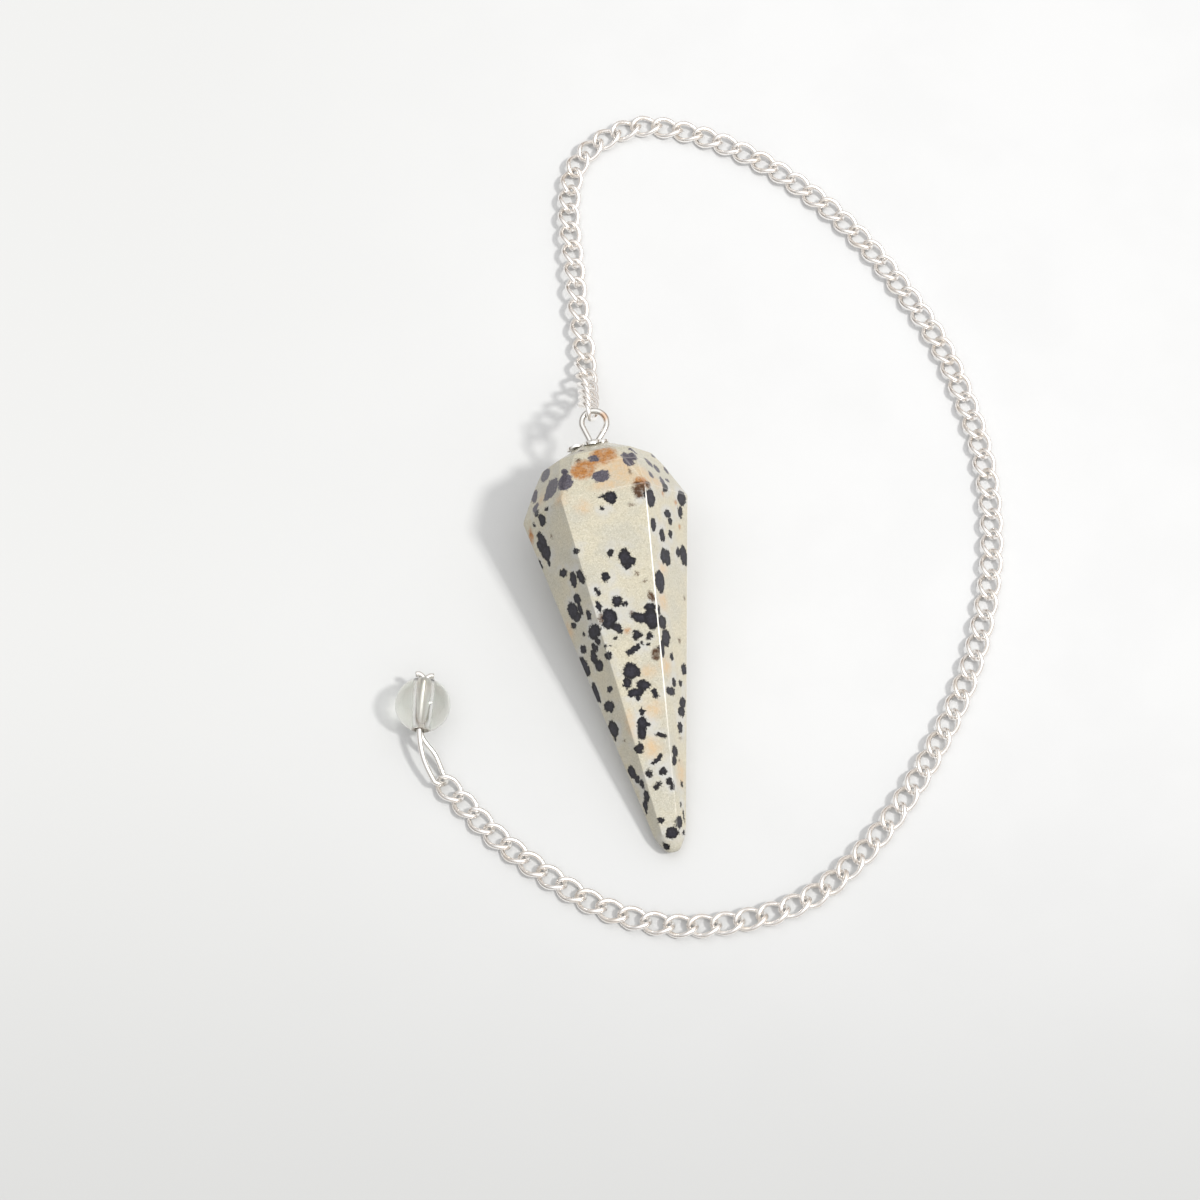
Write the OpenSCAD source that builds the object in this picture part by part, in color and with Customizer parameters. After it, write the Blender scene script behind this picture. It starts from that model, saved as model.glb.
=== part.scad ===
// Pendulum pendant: a faceted jasper point with a petal cap and an open wire eye,
// a twisted curb chain, and a clear end bead on a wire loop.
// It lies as it was laid down, with one long facet of the stone flat on the surface.
// Millimetres, +Z up. The origin is on the surface, under the middle of the whole piece.

/* [Stone] */
// Width over the corners at the girdle, the stone's widest line
stone_w = 18.3; // [14:0.1:26]
// Length of the long facets, from the girdle down to the bevel of the tip
point_len = 37; // [26:0.5:60]
// Width over the corners where the bevel of the tip starts
tip_w = 3.3; // [3:0.1:7]
// Length of the bevel at the tip
tip_bevel = 1.4; // [1:0.2:3]
// Height of the crown above the girdle
crown_h = 7; // [5:0.2:9]
// Width of the flat table on the crown
table_w = 4.6; // [4:0.2:7]

/* [Bead cap] */
// Width of the cap over its petals
cap_w = 4.4; // [4.2:0.2:7]
// Thickness of its sheet
cap_wall = 0.3; // [0.25:0.05:0.6]
// Number of petals
petals = 5; // [4:1:8]
// How far the rim of a lifted petal stands off the crown
petal_curl = 0.5; // [0.2:0.1:1]

/* [Eye pin] */
// Diameter of the pin's wire
pin_wire = 0.65; // [0.5:0.05:0.9]
// Outer width of the open eye
eye_w = 3.4; // [3:0.1:5]
// Outer height of the eye above the cap
eye_h = 4.1; // [3.6:0.1:6]
// Depth of the pin in the stone
pin_depth = 6; // [4:0.5:12]

/* [Chain] */
// Diameter of a link's wire
link_wire = 0.55; // [0.45:0.05:0.8]
// Free width inside a link, beside the wire that passes through it
link_room = 1.05; // [0.9:0.05:1.4]
// Free length in the middle of a link, between its two neighbours
link_window = 1.1; // [0.9:0.1:2.5]
// How far two neighbours slide along each other before they pull tight
link_play = 0.28; // [0.25:0.01:0.5]
// Twist of a link from end to end, in degrees
link_twist = 95; // [85:1:100]

/* [End bead] */
// Diameter of the clear bead
bead_d = 6; // [5:0.5:8]
// Diameter of the bead's wire
bead_wire = 0.6; // [0.5:0.05:0.8]
// Inner width of the wire loop where it turns through the first link
turn_w = 1.4; // [1:0.1:2]
// Length of the bent ends that hold the bead on the wire
stub_len = 0.9; // [0.8:0.1:2]

/* [Clearances] */
// Gap round a wire that passes through a hole or a link
wire_gap = 0.1; // [0.1:0.02:0.2]
// Gap under a piece that sits on another
seat_gap = 0.08; // [0.06:0.01:0.15]

/* [Hidden] */

// The stone was cut by hand, so its six corners stand a little unevenly round the axis.
// Degrees from the upper side, turning to the right as seen from the tip.
corner_turns = [26, 90, 150, 210, 270, 326];
// Rings of the crown: share of the girdle's width, share of the crown's height, and half the
// angle by which each corner opens into a bevel facet.
crown_rings = [[0.79, 0.50, 6], [0.67, 0.74, 9]];
table_spread = 15;
// Share of the tip's width that is left at the end of its bevel
tip_end_share = 0.5;

stone_r = stone_w / 2;
tip_r = tip_w / 2;
table_r = table_w / 2;
// The lying facet spans two corners, so it is this share of a radius away from the axis.
lying_share = cos((corner_turns[3] - corner_turns[2]) / 2);
// With that facet flat on the surface, the axis leans by the facet's own slope.
lean = atan((stone_r - tip_r) * lying_share / point_len);
// Where the girdle's centre stands, and how far the tip points aside from -Y
stone_xy = [-10.8, -4.0];
stone_turn = 11;
stone_centre = [stone_xy[0], stone_xy[1], stone_r * lying_share * cos(lean)];

// The hole was drilled a little to the left of the middle, and pin and cap sit on it.
pin_aside = -0.15;

// Side of the first petal in degrees, and how far each petal is lifted, as a share of
// petal_curl. The first one is the upper one.
petal_start = 270;
petal_lift = [0.05, 0.6, 1, 0.8, 0.2];
// How far the petals and the notches between them reach, as a share of the cap's radius
petal_reach = [1.45, 0.9, 1, 1, 1.3];
petal_notch = 0.6;
// Power that makes the petals' ends blunt, steps round one petal, and rings from hole to rim
petal_bluntness = 0.7;
petal_steps = 8;
petal_rings = [0, 0.25, 0.5, 0.75, 1];
cap_hole_r = pin_wire / 2 + wire_gap;
// How far the sheet rises to its hole
cap_boss = 0.1;

// The eye leans to the right of the pin. Its wire leaves the round line at both ends of an arc.
// The chain pulls a little to the left of its top.
eye_lean = 9;
eye_pull = -25;
eye_arc = 125;
pin_step = 25;
neck_z = crown_h + seat_gap + cap_boss + cap_wall + wire_gap;
eye_r = (eye_w - pin_wire) / 2;
eye_rise = eye_h - eye_w / 2;
foot_x = pin_aside + pin_wire + 2 * wire_gap;
eye_centre = [
    (pin_aside + foot_x) / 2 + eye_rise * sin(eye_lean), 0, neck_z + eye_rise * cos(eye_lean)
];
function eye_point(a) = eye_centre + eye_r * [sin(a + eye_lean), 0, cos(a + eye_lean)];

link_in_w = link_wire + link_room;
link_in_len = link_window + 2 * (link_wire + link_play);
link_a = (link_in_len + link_wire) / 2;
link_b = (link_in_w + link_wire) / 2;
link_pitch = link_in_len - link_play;
link_stations = 14;
link_sides = 5;

bead_r = bead_d / 2;
leg_spread = (bead_wire + wire_gap) / 2;
bead_hole = 2 * bead_wire + 3 * wire_gap;
// The bead rests on the surface. Its hole points at the chain and dips a little.
bead_at = [-30.5, -25.0, bead_r];
bead_turn = -3;
bead_dip = 4;
// The two legs of the wire lie one above the other in the hole, a little aslant.
leg_slant = 75;
// Length of the bend at each end of the wire, as a share of its diameter
bend_share = 0.75;

// Where the wire of the bead turns through the first link, and the way the chain leaves it.
// The left and the right leg bow out on their way to the bead.
turn_xy = [-28.1, -33.3];
leg_bow = [-0.4, 0.3];
chain_start_turn = -43;
turn_r = (turn_w + bead_wire) / 2;
turn_arc = 75;
turn_step = 25;
// The end of a link stands at half its twist, and the wire crosses it squarely.
cross_angle = 90 - link_twist / 2;
turn_at = [turn_xy[0], turn_xy[1], bead_wire / 2 + turn_r * sin(cross_angle)];

// Route of the chain between its two ends, in round numbers: x, y, height above lying flat,
// and the roll of the links about the route in degrees. The end points are worked out below.
route_points = [
    [-25.8, -35.7, 0.05, 0], [-22.5, -39.2, 0, 0], [-16.7, -43.8, 0, 0], [-10.4, -47.5, 0, 0],
    [-3.3, -49.2, 0, 0], [4.1, -48.5, 0, 0], [10.8, -46.1, 0, 0], [16.5, -41.2, 0, 0],
    [21.2, -35.1, 0, 0], [25.0, -28.7, 0, 0], [28.2, -21.9, 0, 0], [30.4, -15.0, 0, 0],
    [31.8, -7.6, 0, 0], [32.1, -0.5, 0, 0], [31.4, 6.8, 0, 0], [29.7, 13.7, 0, 0],
    [27.1, 20.8, 0, 0], [23.5, 27.2, 0, 0], [19.3, 33.4, 0, 0], [14.4, 38.9, 0, 0],
    [8.4, 43.8, 0, 0], [1.9, 47.4, 0, 0], [-5.0, 49.3, 0, 0], [-8.5, 48.8, 0, 0],
    [-11.7, 46.9, 0, 0], [-13.7, 44.7, 0, -2], [-14.7, 41.8, 0, -6], [-15.0, 38.5, 0, -11],
    [-14.9, 35.3, 0, -16], [-14.5, 31.5, 0, -23], [-14.1, 26.9, 0, -30], [-13.7, 23.4, 0, -24],
    [-13.3, 20.4, 0.05, -17], [-13.1, 17.9, 0.25, -17], [-12.9, 15.1, 1.3, -25],
    [-12.7, 11.8, 3.8, -35]
];
// Steps between two points of the chain's route and of the bead's wire, and sides of a bent wire
route_steps = 10;
wire_steps = 4;
wire_sides = 8;

// Small vector functions
function unit(v) = v / norm(v);
function xyz(p) = [p[0], p[1], p[2]];
function heading(a) = [cos(a), sin(a), 0];
function polar(r, a, z) = [r * cos(a), r * sin(a), z];

// A smooth curve through knots: each tangent follows the two neighbours of its knot.
function span(knots, i) = norm(xyz(knots[i + 1]) - xyz(knots[i]));
function slope(knots, i) =
    i == 0 ? (knots[1] - knots[0]) / span(knots, 0)
    : i == len(knots) - 1 ? (knots[i] - knots[i - 1]) / span(knots, i - 1)
    : (knots[i + 1] - knots[i - 1]) / (span(knots, i - 1) + span(knots, i));
function between(knots, i, u) =
    let (s = span(knots, i))
    (2 * u * u * u - 3 * u * u + 1) * knots[i] + (u * u * u - 2 * u * u + u) * s * slope(knots, i)
    + (3 * u * u - 2 * u * u * u) * knots[i + 1] + (u * u * u - u * u) * s * slope(knots, i + 1);
function smooth(knots, steps) = [
    for (i = [0 : len(knots) - 2]) for (k = [0 : steps - 1]) between(knots, i, k / steps),
    knots[len(knots) - 1]
];

// Places a point of the upright stone (+Z to the crown) where the stone lies.
function stone_side() = heading(stone_turn);
function stone_axis() = [-sin(stone_turn) * cos(lean), cos(stone_turn) * cos(lean), sin(lean)];
function lying(p) =
    stone_centre + p[0] * stone_side() + p[1] * cross(stone_axis(), stone_side()) + p[2] * stone_axis();

// One ring of stone corners: spread opens each corner into a pair.
function stone_ring(r, z, spread) = [
    for (a = corner_turns) for (s = spread == 0 ? [0] : [-spread, spread])
        [r * sin(a + s), -r * cos(a + s), z]
];

// A link's centreline about its own centre, with +X along the chain and +Y to the left
function link_line(a) =
    let (x = link_a * cos(a), y = link_b * sin(a), t = -link_twist / 2 * x / link_a)
    [x, y * cos(t), y * sin(t)];
function link_normal(a) =
    let (t = link_line(a + 1) - link_line(a - 1), out = link_line(a))
    unit(out - (out * t) / (t * t) * t);
// Height of a link's centre over the surface when it lies there rolled about the chain
function resting(roll) =
    link_wire / 2 + max([
        for (a = [0 : 6 : 359]) let (p = link_line(a)) abs(p[1] * sin(roll) + p[2] * cos(roll))
    ]);

// The whole route, from the turn of the bead's wire to the top of the eye
end_roll = link_twist / 2 - 90;
eye_top = lying(eye_point(eye_pull));
route = concat(
    [[turn_at[0], turn_at[1], turn_at[2] - resting(0), 0]],
    route_points,
    [[eye_top[0], eye_top[1], eye_top[2] - resting(end_roll), end_roll]]
);
route_line = smooth(route, route_steps);
function stride(i) = i + 1 < len(route_line) ? span(route_line, i) : 0;
route_length = [for (i = 0, s = 0; i < len(route_line); s = s + stride(i), i = i + 1) s];
route_x = [for (i = [0 : len(route_line) - 1]) [route_length[i], route_line[i][0]]];
route_y = [for (i = [0 : len(route_line) - 1]) [route_length[i], route_line[i][1]]];
route_z = [for (i = [0 : len(route_line) - 1]) [route_length[i], route_line[i][2]]];
route_roll = [for (i = [0 : len(route_line) - 1]) [route_length[i], route_line[i][3]]];

// The end links hook round the two wires, clear of them.
first_at = link_a - link_wire / 2 - bead_wire / 2 - 2 * wire_gap;
last_at = route_length[len(route_length) - 1] - (link_a - link_wire / 2 - pin_wire / 2 - 2 * wire_gap);
link_count = round((last_at - first_at) / link_pitch) + 1;
link_step = (last_at - first_at) / (link_count - 1);
function link_roll(i) = lookup(first_at + i * link_step, route_roll);
function link_centre(i) =
    let (s = first_at + i * link_step)
    [lookup(s, route_x), lookup(s, route_y), max(0, lookup(s, route_z)) + resting(link_roll(i))];
link_centres = [for (i = [0 : link_count - 1]) link_centre(i)];
function link_way(i) =
    i == 0 ? unit(link_centres[0] - turn_at)
    : i == link_count - 1 ? unit(eye_top - link_centres[i])
    : unit(link_centres[i + 1] - link_centres[i - 1]);

function ring_faces(sides, stations, closed) = [
    for (j = [0 : stations - (closed ? 1 : 2)]) for (k = [0 : sides - 1])
        let (n = (j + 1) % stations, m = (k + 1) % sides)
        each [
            [j * sides + k, n * sides + m, j * sides + m],
            [j * sides + k, n * sides + k, n * sides + m]
        ]
];

// Frames that turn no more than the path does, carried from point to point
function path_way(path, i) =
    unit(path[min(i + 1, len(path) - 1)] - path[max(i - 1, 0)]);
function square_to(v, way) = unit(v - (v * way) * way);

// A bent round wire with flat ends along a list of points
module wire(path, d, first_side) {
    sides = [
        for (i = 0, v = square_to(first_side, path_way(path, 0)); i < len(path);
            v = square_to(v, path_way(path, min(i + 1, len(path) - 1))), i = i + 1) v
    ];
    points = [
        for (i = [0 : len(path) - 1]) for (k = [0 : wire_sides - 1])
            let (a = 360 * (k + 0.5) / wire_sides, w = path_way(path, i))
            path[i] + d / 2 * (cos(a) * sides[i] + sin(a) * cross(w, sides[i]))
    ];
    last = (len(path) - 1) * wire_sides;
    polyhedron(points, concat(
        [[for (k = [0 : wire_sides - 1]) k]],
        ring_faces(wire_sides, len(path), false),
        [[for (k = [wire_sides - 1 : -1 : 0]) last + k]]
    ));
}

// Puts a piece that is drawn upright on the stone's axis where the stone lies.
module lie() {
    translate(stone_centre) rotate([lean - 90, 0, stone_turn]) children();
}

// Six long facets, a bevelled tip, and a crown of two tiers with a bevel at each corner
module faceted_stone() {
    sides = len(corner_turns);
    rings = [
        stone_ring(tip_r * tip_end_share, -point_len - tip_bevel, 0),
        stone_ring(tip_r, -point_len, 0),
        stone_ring(stone_r, 0, 0),
        stone_ring(stone_r * crown_rings[0][0], crown_h * crown_rings[0][1], crown_rings[0][2]),
        stone_ring(stone_r * crown_rings[1][0], crown_h * crown_rings[1][1], crown_rings[1][2]),
        stone_ring(table_r, crown_h, table_spread)
    ];
    // First point of each ring in the list
    at = [0, sides, 2 * sides, 3 * sides, 5 * sides, 7 * sides];
    color("beige")
    lie()
    difference() {
        polyhedron([for (r = rings) each r], concat(
            [[for (k = [0 : sides - 1]) k]],
            [for (j = [0, 1]) for (k = [0 : sides - 1]) let (m = (k + 1) % sides)
                [at[j] + k, at[j + 1] + k, at[j + 1] + m, at[j] + m]],
            [for (k = [0 : sides - 1]) [at[2] + k, at[3] + 2 * k, at[3] + 2 * k + 1]],
            [for (k = [0 : sides - 1]) let (m = (k + 1) % sides)
                [at[2] + k, at[3] + 2 * k + 1, at[3] + 2 * m, at[2] + m]],
            [for (j = [3, 4]) for (k = [0 : 2 * sides - 1]) let (m = (k + 1) % (2 * sides))
                [at[j] + k, at[j + 1] + k, at[j + 1] + m, at[j] + m]],
            [[for (k = [2 * sides - 1 : -1 : 0]) at[5] + k]]
        ));
        translate([pin_aside, 0, crown_h - pin_depth - 2 * wire_gap])
            cylinder(h = pin_depth + 1, d = pin_wire + 2 * wire_gap, $fn = 32);
    }
}

// A flower of thin sheet on the table, its petals laid down the crown or curled off it
module petal_cap() {
    count = petals * petal_steps;
    // Outside the table the sheet follows the slope of the crown.
    fall = crown_h * (1 - crown_rings[1][1]) / (stone_r * crown_rings[1][0] - table_r);
    fall_from = table_r + cap_w / 16;
    function petal(a) = pow(abs(cos(petals * (a - petal_start) / 2)), petal_bluntness);
    function number(a) = round((a - petal_start + 360) / 360 * petals) % petals % len(petal_lift);
    function rim(a) = cap_w / 2 * (petal_notch + (petal_reach[number(a)] - petal_notch) * petal(a));
    function lift(a) = petal_curl * petal(a) * petal_lift[number(a)];
    function skin(a, t, z) =
        let (p = [pin_aside, 0, 0] + polar(cap_hole_r + (rim(a) - cap_hole_r) * t, a, 0))
        p + [0, 0, crown_h + seat_gap + z - fall * max(0, norm(p) - fall_from)
            + lift(a) * pow(t, 3) + cap_boss * pow(1 - t, 2)];
    angles = [for (k = [0 : count - 1]) petal_start - 360 * k / count];
    loops = concat(
        [for (t = petal_rings) [for (a = angles) skin(a, t, cap_wall)]],
        [for (i = [len(petal_rings) - 1 : -1 : 0]) [for (a = angles) skin(a, petal_rings[i], 0)]]
    );
    color("silver")
    lie()
    polyhedron([for (l = loops) each l], ring_faces(count, len(loops), true));
}

// Straight in the stone, then bent to an open eye whose end comes back to the cap
module eye_pin() {
    knots = concat(
        [for (z = [crown_h - pin_depth, crown_h - pin_depth / 2, neck_z]) [pin_aside, 0, z]],
        [for (a = [-eye_arc : pin_step : eye_arc]) eye_point(a)],
        [[foot_x, 0, neck_z + pin_wire / 2]]
    );
    color("silver")
    lie()
    wire(smooth(knots, 2), pin_wire, [0, 1, 0]);
}

// Twisted links, each hooked through the next, as separate closed shells of one piece
module curb_chain() {
    points = [
        for (i = [0 : link_count - 1])
            let (
                way = link_way(i),
                left = unit(cross([0, 0, 1], way)),
                up = cross(way, left),
                r = link_roll(i),
                y = left * cos(r) + up * sin(r),
                z = up * cos(r) - left * sin(r)
            )
            for (j = [0 : link_stations - 1])
                let (
                    a = 360 * j / link_stations,
                    line = link_line(a),
                    out = link_normal(a),
                    aside = cross(unit(link_line(a + 1) - link_line(a - 1)), out)
                )
                for (k = [0 : link_sides - 1])
                    let (
                        b = 360 * k / link_sides,
                        p = line + link_wire / 2 * (cos(b) * out + sin(b) * aside)
                    )
                    link_centres[i] + p[0] * way + p[1] * y + p[2] * z
    ];
    one_link = ring_faces(link_sides, link_stations, true);
    per_link = link_stations * link_sides;
    color("gainsboro")
    polyhedron(points, [
        for (i = [0 : link_count - 1]) for (f = one_link) [for (v = f) v + i * per_link]
    ]);
}

// A clear ball, drilled for both legs of its wire
module end_bead() {
    color("lightcyan", 0.5)
    translate(bead_at) rotate([90 + bead_dip, 0, bead_turn])
    difference() {
        sphere(d = bead_d, $fn = 64);
        cylinder(h = 2 * bead_d, d = bead_hole, center = true, $fn = 32);
    }
}

// One wire: out of the bead, through the first link and back, with both ends bent over
module bead_wire_loop() {
    to_chain = [sin(bead_turn) * cos(bead_dip), -cos(bead_turn) * cos(bead_dip), -sin(bead_dip)];
    leg = square_to([-cos(leg_slant), 0, sin(leg_slant)], to_chain) * leg_spread;
    way = heading(chain_start_turn);
    left = cross([0, 0, 1], way);
    rise = left * cos(cross_angle) - [0, 0, 1] * sin(cross_angle);
    back = bead_r + bead_wire / 2 + seat_gap;
    bend = bead_wire * bend_share;
    arc_centre = turn_at - way * turn_r;
    left_leg = bead_at + leg;
    right_leg = bead_at - leg;
    turn = [
        for (a = [-turn_arc : turn_step : turn_arc]) arc_centre + turn_r * (way * cos(a) + rise * sin(a))
    ];
    left_exit = left_leg + to_chain * (bead_r + bead_wire / 2);
    right_exit = right_leg + to_chain * (bead_r + bead_wire / 2);
    knots = concat(
        [for (s = [stub_len, bend]) left_leg - to_chain * back - [s, 0, 0]],
        [left_leg - to_chain * (back - bend), left_leg, left_exit],
        [(left_exit + turn[0]) / 2 + [leg_bow[0], 0, 0]],
        turn,
        [(right_exit + turn[len(turn) - 1]) / 2 + [leg_bow[1], 0, 0]],
        [right_exit, right_leg, right_leg - to_chain * (back - bend)],
        [for (s = [bend, stub_len]) right_leg - to_chain * back + [s, 0, 0]]
    );
    color("silver")
    wire(smooth(knots, wire_steps), bead_wire, [0, 0, 1]);
}

faceted_stone();
petal_cap();
eye_pin();
curb_chain();
end_bead();
bead_wire_loop();
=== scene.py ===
"""A faceted jasper pendant with a petal cap, a wire eye, a curb chain and a clear end bead.

The pendant lies on a pale board. Sizes are those of the part's source, in millimetres, and they
are turned into metres where a mesh is made.
"""
from __future__ import annotations

import logging
import math
from dataclasses import dataclass, field
from enum import Enum
from functools import reduce
from typing import Iterable, Iterator, Sequence

import bmesh
import bpy
from mathutils import Euler, Matrix, Vector


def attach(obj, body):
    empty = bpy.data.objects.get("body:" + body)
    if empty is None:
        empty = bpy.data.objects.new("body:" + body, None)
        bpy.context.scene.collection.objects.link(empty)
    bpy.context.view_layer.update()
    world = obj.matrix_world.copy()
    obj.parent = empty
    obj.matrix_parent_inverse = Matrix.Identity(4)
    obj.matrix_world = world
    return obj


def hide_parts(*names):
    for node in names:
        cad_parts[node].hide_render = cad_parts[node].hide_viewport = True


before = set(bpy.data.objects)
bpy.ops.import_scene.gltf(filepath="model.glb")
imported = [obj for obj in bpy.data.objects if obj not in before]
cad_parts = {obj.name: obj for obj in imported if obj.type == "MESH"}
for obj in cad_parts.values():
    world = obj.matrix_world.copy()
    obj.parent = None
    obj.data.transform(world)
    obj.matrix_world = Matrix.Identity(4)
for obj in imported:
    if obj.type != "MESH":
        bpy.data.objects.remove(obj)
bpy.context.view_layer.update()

log = logging.getLogger("pendant")

MM = 0.001
TO_METRES = Matrix.Scale(MM, 4)
SOFT = {"interpolation_type": "SMOOTHSTEP"}
ROUND = {"profile": 0.5, "affect": "EDGES", "offset_type": "OFFSET", "material": -1}
Points = Sequence[Vector]
Tree = bpy.types.NodeTree
Socket = bpy.types.NodeSocket
Paint = str | Socket


class Slot(Enum):
    """Material slots of the part's record."""

    STONE = "jasper"
    CAP = "cap_metal"
    PIN = "pin_metal"
    CHAIN = "chain_metal"
    BEAD_WIRE = "bead_wire_metal"
    BEAD = "clear_bead"


class Shade(Enum):
    """Kinds of mark in the stone."""

    INK = "ink"
    # Grey crown marks, their lightness partly painted reflection
    ASH = "ash"
    RUST = "rust"
    PEACH = "peach"
    AMBER = "amber"


# Small helpers: colours, nodes and curves


def linear(code: str) -> tuple[float, float, float, float]:
    """Turn an sRGB hex colour into the linear one that shaders use.

    Args:
        code: Six hex digits, with or without a leading hash.

    Returns:
        Red, green, blue and an alpha of one.
    """
    values = [int(code.lstrip("#")[i:i + 2], 16) / 255 for i in (0, 2, 4)]
    red, green, blue = (v / 12.92 if v <= 0.04045 else ((v + 0.055) / 1.055) ** 2.4 for v in values)
    return red, green, blue, 1.0


def fill(node: bpy.types.Node, inputs: dict | tuple) -> None:
    """Give a node's sockets their values, or link them to outputs.

    Args:
        node: The node.
        inputs: Values or output sockets, by socket name or number, or in the sockets' order.
    """
    for name, value in inputs.items() if isinstance(inputs, dict) else enumerate(inputs):
        if isinstance(value, Socket):
            node.id_data.links.new(value, node.inputs[name])
        else:
            node.inputs[name].default_value = value


def add_node(tree: Tree, kind: str, inputs: dict | tuple = (), output: int | str = 0,
             **settings: object) -> Socket:
    """Add a node with its options, fill or link its sockets, and give one of its outputs.

    Args:
        tree: Node tree that gets the node.
        kind: Node type without its ShaderNode prefix.
        inputs: What its sockets get, as fill takes it.
        output: Name or number of the output that is given.
        settings: Options of the node itself.

    Returns:
        The output socket.
    """
    node = tree.nodes.new("ShaderNode" + kind)
    for name, value in settings.items():
        setattr(node, name, value)
    fill(node, inputs)
    return node.outputs[output]


def coats(tree: Tree, colour: Paint, *layers: tuple) -> Socket:
    """Lay colours over one another, each of them stronger or weaker from place to place.

    Args:
        tree: Node tree that gets the nodes.
        colour: Lowest colour, as a hex code or a socket.
        layers: Colour of each layer, then what its share is the product of: shares, or values with
            the start and end of a soft span and, where they aren't zero and one, the shares there.

    Returns:
        The colour.
    """
    for over, *spans in layers:
        share = None
        for span in spans:
            part = add_node(tree, "MapRange", span, **SOFT) if isinstance(span, tuple) else span
            share = part if share is None else add_node(tree, "Math", (share, part), operation="MULTIPLY")
        below, above = (linear(paint) if isinstance(paint, str) else paint for paint in (colour, over))
        colour = add_node(tree, "Mix", {0: share, 6: below, 7: above}, 2, data_type="RGBA")
    return colour


def nearest(tree: Tree, gaps: Iterable[Socket]) -> Socket:
    """Give the least of some distances, each compared as soon as it is made."""
    return reduce(lambda near, gap: add_node(tree, "Math", (near, gap), operation="MINIMUM"), gaps)


def new_surface(name: str) -> tuple[bpy.types.Material, Tree, bpy.types.Node, Socket]:
    """Make a material that knows its place on the piece.

    Args:
        name: What the material is.

    Returns:
        The material, its node tree, its Principled shader and the place in millimetres.
    """
    made = bpy.data.materials.new(name)
    made.use_nodes = True
    tree = made.node_tree
    metres = add_node(tree, "TexCoord", output="Object")
    place = add_node(tree, "Mapping", {"Vector": metres, "Scale": (1 / MM,) * 3})
    return made, tree, tree.nodes["Principled BSDF"], place


def smooth(knots: Points, steps: int) -> list[Vector]:
    """Draw a smooth curve through knots, as the part's source does.

    Args:
        knots: Points that the curve passes. Extra coordinates are carried along.
        steps: Points from one knot to the next.

    Returns:
        The points of the curve.
    """
    def gap(i: int) -> float:
        """Give the distance from a knot to the next."""
        return (knots[i + 1].to_3d() - knots[i].to_3d()).length

    def slope(i: int) -> Vector:
        """Give the curve's direction at a knot.

        Args:
            i: Number of the knot.

        Returns:
            How far the point moves for each millimetre between knots.
        """
        if i == 0:
            return (knots[1] - knots[0]) / gap(0)
        if i == len(knots) - 1:
            return (knots[i] - knots[i - 1]) / gap(i - 1)
        return (knots[i + 1] - knots[i - 1]) / (gap(i - 1) + gap(i))

    points = []
    for i in range(len(knots) - 1):
        for k in range(steps):
            u = k / steps
            points.append((2 * u**3 - 3 * u**2 + 1) * knots[i] + (u**3 - 2 * u**2 + u) * gap(i) * slope(i)
                          + (3 * u**2 - 2 * u**3) * knots[i + 1] + (u**3 - u**2) * gap(i) * slope(i + 1))
    return points + [knots[-1].copy()]


def square_to(vector: Vector, way: Vector) -> Vector:
    """Give the part of a vector that is square to a way, with unit length."""
    return (vector - vector.dot(way) * way).normalized()


def station(at: Vector, way: Vector, aside: Vector) -> Matrix:
    """Make the frame of one ring on a path: X aside, Z along the path."""
    turn = Matrix((aside, way.cross(aside), way)).transposed().to_4x4()
    return Matrix.Translation(at) @ turn


def path_stations(path: Points, side: Vector) -> list[Matrix]:
    """Carry frames along an open path so that they turn no more than it does.

    Args:
        path: Points of the path.
        side: Rough direction of the first frame's X.

    Returns:
        One frame for each point.
    """
    frames = []
    for behind, at, ahead in zip([path[0], *path], path, [*path[1:], path[-1]]):
        way = (ahead - behind).normalized()
        side = square_to(side, way)
        frames.append(station(at, way, side))
    return frames


def edges_of(loop: Iterable[bmesh.types.BMVert]) -> list[bmesh.types.BMEdge]:
    """List a loop's edges, each once and always in the same order."""
    return list(dict.fromkeys(e for v in loop for e in v.link_edges))


def extrude(mesh: bmesh.types.BMesh, edges: Sequence[bmesh.types.BMEdge]) -> Iterator[list]:
    """Extrude a loop, and give the new one's edges, then its vertices."""
    parts = bmesh.ops.extrude_edge_only(mesh, edges=edges)["geom"]
    return ([g for g in parts if isinstance(g, kind)] for kind in (bmesh.types.BMEdge, bmesh.types.BMVert))


def sweep(mesh: bmesh.types.BMesh, frames: Sequence[Matrix], radius: float, sides: int,
          closed: bool = False, chamfer: float = 0.0) -> None:
    """Sweep a round section along frames.

    Args:
        mesh: Mesh that gets the wire.
        frames: Frame of each ring.
        radius: Radius of the wire.
        sides: Sides of the section.
        closed: Whether the last ring meets the first one.
        chamfer: Rounding of the two cut ends of an open wire.
    """
    ring = bmesh.ops.create_circle(mesh, cap_ends=False, segments=sides, radius=radius,
                                   matrix=frames[0])["verts"]
    first = edges = edges_of(ring)
    for last, following in zip(frames, frames[1:]):
        edges, fresh = extrude(mesh, edges)
        bmesh.ops.transform(mesh, matrix=following @ last.inverted(), verts=fresh)
    if closed:
        bmesh.ops.bridge_loops(mesh, edges=first + edges)
        return
    caps = [bmesh.ops.contextual_create(mesh, geom=loop)["faces"][0] for loop in (first, edges)]
    if chamfer:
        bmesh.ops.bevel(mesh, geom=[e for c in caps for e in c.edges], offset=chamfer, segments=3, **ROUND)


def to_data(name: str, mesh: bmesh.types.BMesh) -> bpy.types.Mesh:
    """Turn a bmesh into mesh data.

    Args:
        name: Name of the data.
        mesh: The bmesh, which is freed.

    Returns:
        The data.
    """
    data = bpy.data.meshes.new(name)
    mesh.to_mesh(data)
    mesh.free()
    return data


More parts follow.
